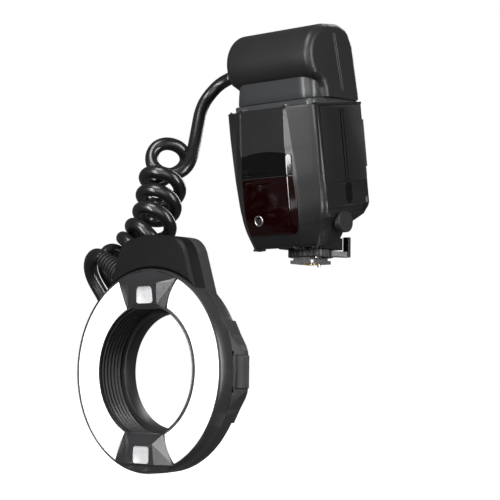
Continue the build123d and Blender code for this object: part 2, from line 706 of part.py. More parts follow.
# ---- modelling lamps: window lens, then the lamp on its little heat plate
for label, z, d, dz in (("upper_lamp_window", 40.95, 1.6, 1), ("lower_lamp_window", -45.0, 2.0, 0)):
    with BuildPart() as lens:
        with BuildSketch(RF.offset(-3.2)):
            with Locations((0, z)):
                RectangleRounded(12.4, 9.2, 1.9)
        extrude(amount=3.2 + d)
        if dz:
            # the upper face follows the segment's slope
            with BuildSketch(Plane(origin=RF.from_local_coords((0, z, 2.5)), x_dir=(1, 0, 0), z_dir=RF.from_local_coords((0, -0.19, 0.98)) - RF.from_local_coords((0, 0, 0)))):
                Rectangle(30, 30)
            extrude(amount=10, mode=Mode.SUBTRACT)
    finish(lens, label)

with BuildPart() as modelling_lamps:
    with BuildSketch(RF.offset(-5.0)):
        with Locations((0, 41.0), (0, -45.0)):
            Rectangle(6.0, 6.0)
    extrude(amount=1.4)
finish(modelling_lamps, "modelling_lamps")

# ---- ribbed sleeve through the bore
with BuildPart() as bore_sleeve:
    with BuildSketch(RV):
        pts = [(36.0, 14.6), (36.0, 1.3), (34.8, 1.3), (R_BORE, 1.5), (R_BORE, 1.9)]
        d = 2.3
        while d < 13.0:
            pts += [(35.5, d), (35.5, d + 1.2), (R_BORE, d + 1.7), (R_BORE, d + 2.1)]
            d += 2.5
        pts += [(35.4, 14.6)]
        with BuildLine():
            Polyline(*pts, close=True)
        make_face()
    revolve(axis=RAX)
finish(bore_sleeve, "bore_sleeve")

# ---- flash tubes and their reflectors, two C-shaped pairs
for side, mid in (("left", 180), ("right", 0)):
    half = 90 - WEDGE - 3.0
    with BuildPart() as tube:
        a = radians(mid - half)
        with BuildSketch(Plane(origin=RF.from_local_coords((45.2 * cos(a), 45.2 * sin(a), -5.4)), x_dir=RF.from_local_coords((cos(a), sin(a), 0)) - RF.from_local_coords((0, 0, 0)), z_dir=RF.from_local_coords((-sin(a), cos(a), 0)) - RF.from_local_coords((0, 0, 0)))):
            Circle(1.7)
        revolve(axis=RAX, revolution_arc=-2 * half)
    finish(tube, "flash_tube_" + side)
    with BuildPart() as trough:
        with BuildSketch(RV):
            with BuildLine():
                Polyline((38.2, 2.6), (38.6, 2.6), (41.6, 7.6), (48.8, 7.6), (52.0, 2.6), (52.4, 2.6), (49.1, 8.1), (41.3, 8.1), close=True)
            make_face()
        revolve(axis=RAX)
    with BuildPart() as reflector:
        with BuildSketch(RF.offset(-10)):
            with BuildLine():
                sector(36.0, 54.0, mid - half - 1.5, mid + half + 1.5)
            make_face()
        extrude(amount=9)
        add(trough.part, mode=Mode.INTERSECT)
    finish(reflector, "reflector_" + side)

# ---- circuit board behind the reflectors, with a tab up into the hump
with BuildPart() as ring_board:
    with BuildSketch(RF.offset(-11.35)):
        Circle(51.5)
        with Locations((0, 57)):
            Rectangle(30, 18)
        Circle(37.8, mode=Mode.SUBTRACT)
        with PolarLocations(48.5, 4, start_angle=45):
            Circle(3.4, mode=Mode.SUBTRACT)
    extrude(amount=1.0)
    with BuildSketch(RF.offset(-10.35)):
        with Locations((0, 61.4)):
            Rectangle(14, 7)
    extrude(amount=3.4)
finish(ring_board, "ring_board")

# ---- bulges that guard the release buttons, rising from the housing
with BuildPart() as guards:
    for sx in (-1, 1):
        with BuildSketch(RF.offset(-19.2)):
            Polygon(*[(sx * x, z) for x, z in ((48, 27), (52.2, 19.6), (56.0, 13.8), (58.6, 10.6), (59.2, 9.2), (59.2, -9.2), (58.6, -10.6), (56.0, -13.8), (52.2, -19.6), (48, -27))], align=None)
        extrude(amount=19.2 - SEAM_D - 0.1)
    with BuildSketch(RV):
        with BuildLine():
            Polyline((52.4, SEAM_D + 0.1), (R_OUT + 0.1, SEAM_D + 0.1), (59.3, 15.0), (59.3, 18.0), (57.6, 19.2), (52.4, 19.2), close=True)
        make_face()
    revolve(axis=RAX, mode=Mode.INTERSECT)

# ---- rear cover with the lower half of the hump and the button guards
with BuildPart() as rear_cover:
    with BuildSketch(RV):
        with BuildLine():
            Polyline((R_OUT, SEAM_D + 0.1), (R_OUT - 0.4, 17.4), (53.4, 19.4), (51.6, RING_D), (37.2, RING_D), (37.2, 14.9),
                     (36.1, 14.9), (36.1, 13.2), (37.4, 13.2), (38.9, 18.4), (50.6, 18.4), (52.6, 17.0), (53.2, SEAM_D + 0.1), close=True)
        make_face()
    revolve(axis=RAX)
    # hump
    with BuildSketch(RF.offset(-RING_D + 0.6)):
        with BuildLine():
            hump_outline(0)
        make_face()
        Circle(52.0, mode=Mode.SUBTRACT)
    extrude(amount=RING_D - 0.6 - HUMP_D1 - 0.1)
    with BuildSketch(RF.offset(-RING_D + 0.6 + WALL)):
        with BuildLine():
            hump_outline(WALL)
        make_face()
        Circle(50.4, mode=Mode.SUBTRACT)
    extrude(amount=12, mode=Mode.SUBTRACT)
    # guards round the release buttons
    add(guards.part)
    for sx in (-1, 1):
        with BuildSketch(RF.offset(-RING_D + 0.9 + WALL)):
            with Locations((sx * 50.3, 0)):
                Rectangle(9.0, 21.4)
            Circle(45.0, mode=Mode.SUBTRACT)
        extrude(amount=16, mode=Mode.SUBTRACT)
        with BuildSketch(RF.offset(-BTN_D1 - 0.3)):
            with Locations((sx * 55.0, 0)):
                Rectangle(12, 2 * BTN_Z + 0.6)
        extrude(amount=BTN_D1 - BTN_D0 + 0.6, mode=Mode.SUBTRACT)
    # slots in the inner collar for the latch plates
    with BuildSketch(RF.offset(-17.5)):
        for a in (-76, 104):
            with BuildLine():
                sector(36.0, 39.6, a, a + 118)
            make_face()
    extrude(amount=1.7, mode=Mode.SUBTRACT)
    # screw posts
    with BuildSketch(RF.offset(-18.6)):
        with PolarLocations(48.5, 4, start_angle=45):
            Circle(2.3)
    extrude(amount=8.4)
    with BuildSketch(RF.offset(-20.2)):
        with PolarLocations(48.5, 4, start_angle=45):
            Circle(1.05)
    extrude(amount=12, mode=Mode.SUBTRACT)
    # hole for the cord's strain relief in the hump's flank
    with BuildSketch(Plane(origin=(-34.0, RING_Y + 11.0, RING_Z + 55.4), x_dir=(0, 1, 0), z_dir=(0.86, 0, -0.51))):
        Circle(4.2)
    extrude(amount=14, mode=Mode.SUBTRACT)
finish(rear_cover, "ring_rear_cover")

# ---- front half of the hump, with a bare name plate face
with BuildPart() as hump_cover:
    with BuildSketch(RF.offset(-HUMP_D1)):
        with BuildLine():
            hump_outline(0)
        make_face()
        Circle(R_OUT + 0.05, mode=Mode.SUBTRACT)
    extrude(amount=HUMP_D1 - HUMP_D0)
    chamfer(hump_cover.faces().sort_by(RAX)[0].edges().sort_by(Axis.Z)[-5:], 1.5)
    with BuildSketch(RF.offset(-HUMP_D1)):
        with BuildLine():
            hump_outline(WALL)
        make_face()
        Circle(R_OUT + 1.3, mode=Mode.SUBTRACT)
    extrude(amount=HUMP_D1 - HUMP_D0 - WALL, mode=Mode.SUBTRACT)
    with BuildSketch(Plane(origin=(-34.0, RING_Y + 11.0, RING_Z + 55.4), x_dir=(0, 1, 0), z_dir=(0.86, 0, -0.51))):
        Circle(4.2)
    extrude(amount=14, mode=Mode.SUBTRACT)
    with BuildSketch(RF.offset(-HUMP_D1 - 1)):
        with Locations((0, 55)):
            Rectangle(31, 8)
    extrude(amount=2.3, mode=Mode.SUBTRACT)
finish(hump_cover, "hump_cover")

# ---- strain relief: ribbed taper out of the hump's left flank
RELIEF = Plane(origin=(-29.8, RING_Y + 11.0, RING_Z + 52.9), x_dir=(0, 1, 0), z_dir=(-0.86, 0, 0.51))
with BuildPart() as strain_relief:
    with BuildSketch(Plane(origin=RELIEF.origin, x_dir=RELIEF.z_dir, z_dir=RELIEF.x_dir)):
        prof = [(-3.0, 0), (-3.0, 4.1), (1.6, 4.1)]
        x = 1.6
        while x < 17.5:
            r = 6.4 - 0.11 * x
            prof += [(x, r - 0.9), (x + 0.5, r - 0.9), (x + 0.5, r), (x + 2.1, r - 0.1), (x + 2.1, r - 0.9)]
            x += 2.6
        prof += [(20.0, prof[-1][1]), (20.0, 0)]
        with BuildLine():
            Polyline(*prof, close=True)
        make_face()
    revolve(axis=Axis(RELIEF.origin, RELIEF.z_dir))
finish(strain_relief, "strain_relief")

# ---- release buttons: ribbed cap outside, latch plate round half the ring inside
for label, sx in (("release_button_right", 1), ("release_button_left", -1)):
    with BuildPart() as btn:
        with BuildSketch(RF.offset(-BTN_D1)):
            with Locations((sx * (BTN_X - 5.4), 0)):
                Rectangle(10.8, 2 * BTN_Z)
        extrude(amount=BTN_D1 - BTN_D0)
        # fine ribs along the outer face
        with BuildSketch(Plane(origin=(sx * (BTN_X - 0.5), RING_Y + (BTN_D0 + BTN_D1) / 2, RING_Z), x_dir=(0, sx, 0), z_dir=(sx, 0, 0))):
            with GridLocations(1.1, 0, 5, 1):
                Rectangle(0.45, 2 * BTN_Z + 1)
        extrude(amount=2, mode=Mode.SUBTRACT)
        # latch plate
        with BuildSketch(RF.offset(-SL_D1)):
            turn = 0 if sx > 0 else 180
            for r0, r1, a0, a1 in ((39.4, 42.6, -14, 4), (39.4, 42.6, 194, 350), (35.8, 41.0, 194, 214)):
                with BuildLine():
                    sector(r0, r1, a0 + turn, a1 + turn)
                make_face()
            with Locations((sx * 46.0, 0)):
                Rectangle(9.0, 9.0)
        extrude(amount=SL_D1 - SL_D0)
    finish(btn, label)

with BuildPart() as button_springs:
    for sx in (-1, 1):
        for z in (-6.0, 6.0):
            with BuildSketch(Plane(origin=(sx * 44.2, RING_Y + 13.6, RING_Z + z), x_dir=(0, 1, 0), z_dir=(sx, 0, 0))):
                Circle(1.3)
                Circle(0.8, mode=Mode.SUBTRACT)
            extrude(amount=4.8)
finish(button_springs, "button_springs")

# ---- screws that hold rear cover and front frame together
with BuildPart() as ring_screws:
    with BuildSketch(RF.offset(-20.0)):
        with PolarLocations(48.5, 4, start_angle=45):
            Circle(1.0)
    extrude(amount=9.6)
finish(ring_screws, "ring_screws")

# ---- adapter ring: flange with the latch groove, male filter thread behind
with BuildPart() as adapter_ring:
    with BuildSketch(RV):
        with BuildLine():
            Polyline((31.6, 15.2), (36.9, 15.2), (36.9, 15.9), (35.2, 15.9), (35.2, 17.4), (36.9, 17.4), (36.9, 19.6),
                     (R_THREAD, 19.6), (R_THREAD, 19.6 + L_THREAD), (31.6, 19.6 + L_THREAD), close=True)
        make_face()
    revolve(axis=RAX)
finish(adapter_ring, "adapter_ring")

# =================================================================== the cord
LEAD = [(-41.0, GY, GZ), (-50.0, GY - 0.4, GZ - 2.4), (-57.0, -31.0, 103.0), (-61.0, -36.0, 90.0),
        (-60.6, -42.0, 77.5), (-60.8, -50.0, 69.5), (-62.0, -58.0, 66.0)]
COIL = [(-62.0, -58.0, 66.0), (-58.5, -69.0, 53.0), (-53.8, -76.4, 39.5), (-50.4, -83.2, 27.6),
        (-48.4, -90.4, 17.0), (-49.6, -96.6, 8.6), (-54.0, -101.0, 2.0)]
TAIL = [(-54.0, -101.0, 2.0), (-57.4, -103.0, -9.0), (-57.6, -98.6, -20.0), (-57.4, -94.6, -30.0), (-57.6, -95.2, -39.0),
        (-58.4, -100.0, -45.2), (-59.4, -107.4, -45.0), (-60.6, -112.2, -38.4), (-62.0, -115.0, -27.4),
        (-63.0, -118.6, -15.4), (-62.0, -123.6, -4.6), (-55.6, -126.6, 0.4), (-47.0, -127.0, -2.9)]


def corner_radii(points, floor):
    out = []
    for a, b, c in zip(points, points[1:], points[2:]):
        u = Vector(*b) - Vector(*a)
        v = Vector(*c) - Vector(*b)
        turn = radians(u.get_angle(v))
        out.append(max(floor, 0.45 * min(u.length, v.length) / tan(turn / 2)))
    return out


for label, route, dia, meets in (("cord_coil", COIL, D_COIL, ()), ("cord_lead", LEAD, D_CORD, ("coil", cord_gland)),
                                 ("cord_tail", TAIL, D_CORD, ("coil", strain_relief))):
    radii = corner_radii(route, 1.0)
    with BuildPart() as cord:
        with BuildLine() as path:
            FilletPolyline(*route, radius=radii)
        with BuildSketch(Plane(origin=route[0], z_dir=Vector(*route[1]) - Vector(*route[0]))):
            Circle(dia / 2)
        sweep(path=path.line)
    long = sum(e.length for e in path.line.edges())
    print(label, "length", round(long, 1), "radii", [round(r, 1) for r in radii],
          "volume / section x length", round(cord.part.volume / (pi * dia * dia / 4 * long), 4))
    if not meets:
        coil_solid = cord.part
    else:
        with cord:
            add(coil_solid, mode=Mode.SUBTRACT)
            add(meets[1].part, mode=Mode.SUBTRACT)
    finish(cord, label)
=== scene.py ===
import json
import math

import bmesh
import bpy
from mathutils import Matrix, Vector, noise

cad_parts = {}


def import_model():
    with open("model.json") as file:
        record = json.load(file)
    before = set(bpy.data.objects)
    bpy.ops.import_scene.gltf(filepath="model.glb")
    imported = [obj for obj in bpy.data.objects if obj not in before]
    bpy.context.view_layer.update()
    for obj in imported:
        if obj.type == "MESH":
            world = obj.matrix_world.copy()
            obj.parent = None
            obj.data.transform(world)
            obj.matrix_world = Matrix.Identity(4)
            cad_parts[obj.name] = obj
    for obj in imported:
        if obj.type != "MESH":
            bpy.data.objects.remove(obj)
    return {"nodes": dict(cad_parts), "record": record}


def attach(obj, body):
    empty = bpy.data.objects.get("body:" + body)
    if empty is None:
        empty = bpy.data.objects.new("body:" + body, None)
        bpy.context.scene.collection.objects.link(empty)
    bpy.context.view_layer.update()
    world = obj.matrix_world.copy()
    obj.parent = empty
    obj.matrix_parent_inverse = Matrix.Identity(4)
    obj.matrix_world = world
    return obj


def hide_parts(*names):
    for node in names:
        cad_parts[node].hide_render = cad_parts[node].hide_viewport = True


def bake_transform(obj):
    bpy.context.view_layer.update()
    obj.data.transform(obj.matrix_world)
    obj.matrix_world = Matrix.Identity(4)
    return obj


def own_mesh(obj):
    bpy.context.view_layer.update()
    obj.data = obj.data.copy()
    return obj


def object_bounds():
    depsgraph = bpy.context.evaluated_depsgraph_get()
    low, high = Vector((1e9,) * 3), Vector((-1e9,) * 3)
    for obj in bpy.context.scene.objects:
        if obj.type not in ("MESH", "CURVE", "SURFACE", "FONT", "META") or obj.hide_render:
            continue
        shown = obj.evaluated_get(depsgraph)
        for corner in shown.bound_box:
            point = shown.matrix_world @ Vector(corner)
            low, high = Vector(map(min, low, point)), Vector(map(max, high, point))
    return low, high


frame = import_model()
cad_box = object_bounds()
nodes = frame["nodes"]
scene = bpy.context.scene
TILT = math.radians(9.0)
CT, ST = math.cos(TILT), math.sin(TILT)
RING = Vector((0.0, -0.138, -0.066))     # centre of the ring's front plane


def world(x, y, z):
    """Point of the leaning unit (x, depth, height, mm) in the row frame, metres."""
    return Vector((x, y * CT - z * ST, y * ST + z * CT)) * 0.001


def ringp(r, a, d):
    """Point of the ring: radius mm, angle degrees from +X as seen from the front, depth mm."""
    t = math.radians(a)
    return RING + Vector((r * math.cos(t), d, r * math.sin(t))) * 0.001


def mm(points):
    return [(x / 1000, y / 1000, z / 1000) for x, y, z in points]


# ------------------------------------------------------------------ camera
F = Vector((-0.667, 0.741, 0.078)).normalized()
R = Vector((0.744, 0.668, 0.014)); R = (R - F * R.dot(F)).normalized()
U = R.cross(F)
cam_data = bpy.data.cameras.new("view")
cam = bpy.data.objects.new("view", cam_data)
scene.collection.objects.link(cam)
m = Matrix((R, U, -F)).transposed().to_4x4()
m.translation = Vector((0.632, -0.757, -0.069))
cam.matrix_world = m
cam_data.sensor_width = 36.0
cam_data.lens = 117.6
cam_data.clip_start = 0.01
cam_data.clip_end = 50
scene.camera = cam


def link(obj):
    scene.collection.objects.link(obj)
    return obj


# ------------------------------------------------------------------ the cord
LEAD = mm([(-41.0, -26.4, 115.3), (-50.3, -26.8, 113.6), (-58.2, -31.2, 104.3), (-58.2, -37.3, 95.3), (-55.4, -42.9, 83.2), (-51.8, -49.2, 71.1), (-48.1, -55.7, 61.4), (-47.6, -61.3, 54.7), (-51.4, -67.1, 51.4), (-57.3, -71.7, 52.1), (-62.9, -73.9, 57.1), (-65.1, -72.5, 63.4), (-64.4, -69.8, 68.5), (-61.6, -66.2, 71.1), (-58.9, -61.1, 71.3), (-56.7, -56.1, 69.3), (-55.9, -52.4, 65.4), (-56.9, -50.7, 60.8), (-59.7, -52.7, 56.0), (-62.9, -58.0, 53.1)])
COIL = mm([(-61.4, -57.5, 66.0), (-57.9, -68.5, 53.0), (-53.1, -75.8, 39.5), (-49.5, -82.4, 27.6), (-46.8, -88.9, 17.0), (-48.3, -96.1, 7.2), (-53.2, -101.6, -1.8)])
TAIL = mm([(-64.1, -104.6, 7.5), (-65.0, -108.9, 2.2), (-62.4, -112.0, -6.2), (-61.2, -110.5, -10.8), (-60.3, -106.3, -16.4), (-58.6, -101.3, -23.2), (-58.0, -97.3, -30.6), (-57.1, -97.1, -38.2), (-57.6, -100.9, -44.1), (-58.4, -106.5, -43.7), (-58.4, -109.9, -36.9), (-58.3, -111.9, -29.5), (-59.9, -114.8, -22.6), (-62.4, -117.7, -16.7), (-63.5, -120.6, -10.7), (-61.9, -123.1, -5.6), (-58.3, -125.0, -2.0), (-53.5, -126.2, -0.3), (-49.1, -126.4, -1.4), (-47.0, -127.0, -2.9)])
TURN_AT = [0.2777, 0.4347, 0.5919, 0.7687, 0.8995, 0.9950]      # how far along the coil's line each turn's left side is


def spline_line(points, resolution=8):
    """Centreline of a smooth spline through the route: order 3, ends held."""
    cu = bpy.data.curves.new("route", "CURVE")
    cu.dimensions = "3D"
    cu.resolution_u = resolution
    sp = cu.splines.new("NURBS")
    sp.points.add(len(points) - 1)
    for p, co in zip(sp.points, points):
        p.co = (*co, 1.0)
    sp.order_u = 3
    sp.use_endpoint_u = True
    ob = link(bpy.data.objects.new("route", cu))
    bpy.context.view_layer.update()
    me = bpy.data.meshes.new_from_object(ob)
    line = [v.co.copy() for v in me.vertices]
    bpy.data.objects.remove(ob)
    bpy.data.curves.remove(cu)
    bpy.data.meshes.remove(me)
    return line


def along(line, share):
    """Point and direction at a share of the line's length."""
    steps = [(b - a).length for a, b in zip(line, line[1:])]
    want = max(0.0, min(1.0, share)) * sum(steps)
    for k, s in enumerate(steps):
        if want <= s or k == len(steps) - 1:
            t = min(1.0, want / s)
            return line[k].lerp(line[k + 1], t), (line[k + 1] - line[k]).normalized()
        want -= s


coil_line = spline_line(COIL, 12)
helix = []
PER = 14
R_TURN = 0.01085
total_turns = len(TURN_AT) - 1
start = -0.16
k = 0
while True:
    turn = start + k / PER
    if turn > total_turns - 0.1:
        break
    i = max(0, min(total_turns - 1, int(math.floor(turn))))
    share = TURN_AT[i] + (turn - i) * (TURN_AT[i + 1] - TURN_AT[i])
    c, t = along(coil_line, share)
    c2, t2 = along(coil_line, share + 0.06)
    c0, t0 = along(coil_line, share - 0.06)
    t = (c2 - c0).normalized()
    e1 = -R - t * (-R).dot(t)
    e1.normalize()
    e2 = t.cross(e1)
    if e2.dot(-F) < 0:
        e2 = -e2
    ph = 2 * math.pi * turn
    wob = 1.0 + 0.035 * math.sin(2.3 * turn + 0.6)
    helix.append(tuple(c + (e1 * math.cos(ph) + e2 * math.sin(ph)) * R_TURN * wob))
    k += 1


def ease(points, least=0.0056, rounds=600):
    """Route with its tight bends opened, its two ends kept, and no two points closer than 2.6 mm."""
    P = [Vector(points[0]), Vector(points[1])]
    for p in points[2:-2]:
        if (Vector(p) - P[-1]).length > 0.0026:
            P.append(Vector(p))
    P += [Vector(points[-2]), Vector(points[-1])]
    for _ in range(rounds):
        tight = []
        for k in range(2, len(P) - 2):
            u, v = P[k] - P[k - 1], P[k + 1] - P[k]
            half = u.angle(v) / 2
            r = 0.5 * min(u.length, v.length) * math.cos(half) ** 2 / max(1e-6, math.sin(half))
            if r < least:
                tight.append(k)
        if not tight:
            break
        for k in tight:
            P[k] = P[k].lerp((P[k - 1] + P[k + 1]) / 2, 0.12)
    return [tuple(p) for p in P]


ROUTE = ease(LEAD + helix + TAIL)
raw = spline_line(ROUTE, 6)
cord_path = [raw[0]]
for p in raw[1:]:
    if (p - cord_path[-1]).length > 0.0004:
        cord_path.append(p)


def tube(name, line, radius, sides=24, caps=True, mark=None):
    """Round tube along a line, its section carried along without twist."""
    bm = bmesh.new()
    rings = []
    n = None
    for k, p in enumerate(line):
        a = line[max(0, k - 1)]
        b = line[min(len(line) - 1, k + 1)]
        t = (b - a).normalized()
        if n is None:
            n = t.orthogonal().normalized()
        else:
            n = (n - t * n.dot(t)).normalized()
        o = t.cross(n)
        r = radius(k / (len(line) - 1)) if callable(radius) else radius
        rings.append([bm.verts.new(p + (n * math.cos(2 * math.pi * j / sides) + o * math.sin(2 * math.pi * j / sides)) * r) for j in range(sides)])
    for a, b in zip(rings, rings[1:]):
        for j in range(sides):
            bm.faces.new((a[j], a[(j + 1) % sides], b[(j + 1) % sides], b[j]))
    if caps:
        bm.faces.new(list(reversed(rings[0])))
        bm.faces.new(rings[-1])
    bmesh.ops.recalc_face_normals(bm, faces=bm.faces)
    me = bpy.data.meshes.new(name)
    bm.to_mesh(me)
    bm.free()
    for p in me.polygons:
        p.use_smooth = len(p.vertices) == 4
    return link(bpy.data.objects.new(name, me))


CORD_R = 0.0039
cord = tube("curly_cord", cord_path, CORD_R)

# ------------------------------------------------------------------ materials
def material(name, rgb, rough, metallic=0.0, coat=0.0, coat_rough=0.1, ior=1.48, grain=0.0, grain_size=0.0006, cloud=0.08, cloud_size=0.03,
             rough_var=0.06, wear_and_highlight=0.0, wear_and_highlight_rgb=(0.35, 0.35, 0.35), scratch=0.0, scratch_axis=(1, 1, 1), transmission=0.0, alpha=1.0, emission=0.0,
             cells=0.0, cell_size=0.001, spec=0.5, sss=0.0):
    """Procedural material: colour clouds, fine grain in roughness and bump, scratches along one way, edges lightened
    partly as wear and partly as painted edge highlight.
    """
    mat = bpy.data.materials.new(name)
    mat.use_nodes = True
    nt = mat.node_tree
    N, L = nt.nodes, nt.links
    b = N["Principled BSDF"]
    b.inputs["Metallic"].default_value = metallic
    b.inputs["IOR"].default_value = ior
    b.inputs["Coat Weight"].default_value = coat
    b.inputs["Coat Roughness"].default_value = coat_rough
    b.inputs["Transmission Weight"].default_value = transmission
    b.inputs["Alpha"].default_value = alpha
    b.inputs["Specular IOR Level"].default_value = spec
    if sss:
        b.inputs["Subsurface Weight"].default_value = sss
        b.inputs["Subsurface Scale"].default_value = 0.002
        b.inputs["Subsurface Radius"].default_value = (1, 1, 1)
    if emission:
        b.inputs["Emission Color"].default_value = (*rgb, 1)
        b.inputs["Emission Strength"].default_value = emission
    tc = N.new("ShaderNodeTexCoord")
    big = N.new("ShaderNodeTexNoise"); big.inputs["Scale"].default_value = 1 / cloud_size; big.inputs["Detail"].default_value = 6; big.inputs["Roughness"].default_value = 0.6
    L.new(tc.outputs["Object"], big.inputs["Vector"])
    ramp = N.new("ShaderNodeValToRGB")
    lo = [max(0.0, c * (1 - cloud)) for c in rgb]
    hi = [min(1.0, c * (1 + cloud)) for c in rgb]
    ramp.color_ramp.elements[0].position = 0.3; ramp.color_ramp.elements[0].color = (*lo, 1)
    ramp.color_ramp.elements[1].position = 0.7; ramp.color_ramp.elements[1].color = (*hi, 1)
    L.new(big.outputs["Fac"], ramp.inputs["Fac"])
    colour = ramp.outputs["Color"]
    fine = N.new("ShaderNodeTexNoise"); fine.inputs["Scale"].default_value = 1 / grain_size; fine.inputs["Detail"].default_value = 3; fine.inputs["Roughness"].default_value = 0.55
    L.new(tc.outputs["Object"], fine.inputs["Vector"])
    height = fine.outputs["Fac"]
    if cells:
        vor = N.new("ShaderNodeTexVoronoi"); vor.inputs["Scale"].default_value = 1 / cell_size
        L.new(tc.outputs["Object"], vor.inputs["Vector"])
        mx = N.new("ShaderNodeMath"); mx.operation = "MULTIPLY_ADD"; mx.inputs[1].default_value = cells
        L.new(vor.outputs["Distance"], mx.inputs[0]); L.new(height, mx.inputs[2])
        height = mx.outputs[0]
    if scratch:
        mp = N.new("ShaderNodeMapping"); mp.inputs["Scale"].default_value = scratch_axis
        L.new(tc.outputs["Object"], mp.inputs["Vector"])
        sn = N.new("ShaderNodeTexNoise"); sn.inputs["Scale"].default_value = 900; sn.inputs["Detail"].default_value = 5; sn.inputs["Roughness"].default_value = 0.7
        L.new(mp.outputs["Vector"], sn.inputs["Vector"])
        sm = N.new("ShaderNodeMath"); sm.operation = "MULTIPLY_ADD"; sm.inputs[1].default_value = scratch
        L.new(sn.outputs["Fac"], sm.inputs[0]); L.new(height, sm.inputs[2])
        height = sm.outputs[0]
    rr = N.new("ShaderNodeMapRange")
    rr.inputs["From Min"].default_value = 0.25; rr.inputs["From Max"].default_value = 0.75
    rr.inputs["To Min"].default_value = max(0.02, rough - rough_var); rr.inputs["To Max"].default_value = min(1.0, rough + rough_var)
    blendn = N.new("ShaderNodeMath"); blendn.operation = "ADD"
    half = N.new("ShaderNodeMath"); half.operation = "MULTIPLY"; half.inputs[1].default_value = 0.5
    half2 = N.new("ShaderNodeMath"); half2.operation = "MULTIPLY"; half2.inputs[1].default_value = 0.5
    L.new(big.outputs["Fac"], half.inputs[0]); L.new(fine.outputs["Fac"], half2.inputs[0])
    L.new(half.outputs[0], blendn.inputs[0]); L.new(half2.outputs[0], blendn.inputs[1])
    L.new(blendn.outputs[0], rr.inputs["Value"])
    L.new(rr.outputs["Result"], b.inputs["Roughness"])
    # Pointiness lightens convex edges towards the edge colour: partly edge wear, partly a painted highlight standing in
    # for light catching the edges.
    if wear_and_highlight:
        geo = N.new("ShaderNodeNewGeometry")
        edge = N.new("ShaderNodeMapRange")
        edge.inputs["From Min"].default_value = 0.53; edge.inputs["From Max"].default_value = 0.62
        edge.inputs["To Min"].default_value = 0.0; edge.inputs["To Max"].default_value = wear_and_highlight
        L.new(geo.outputs["Pointiness"], edge.inputs["Value"])
        ws = N.new("ShaderNodeMath"); ws.operation = "MULTIPLY"
        L.new(edge.outputs["Result"], ws.inputs[0]); L.new(big.outputs["Fac"], ws.inputs[1])
        mix = N.new("ShaderNodeMix"); mix.data_type = "RGBA"
        mix.inputs["B"].default_value = (*wear_and_highlight_rgb, 1)
        L.new(ws.outputs[0], mix.inputs["Factor"]); L.new(colour, mix.inputs["A"])
        colour = mix.outputs["Result"]
    L.new(colour, b.inputs["Base Color"])
    if grain:
        bump = N.new("ShaderNodeBump"); bump.inputs["Strength"].default_value = grain; bump.inputs["Distance"].default_value = grain_size * 0.35
        L.new(height, bump.inputs["Height"])
        L.new(bump.outputs["Normal"], b.inputs["Normal"])
    return mat


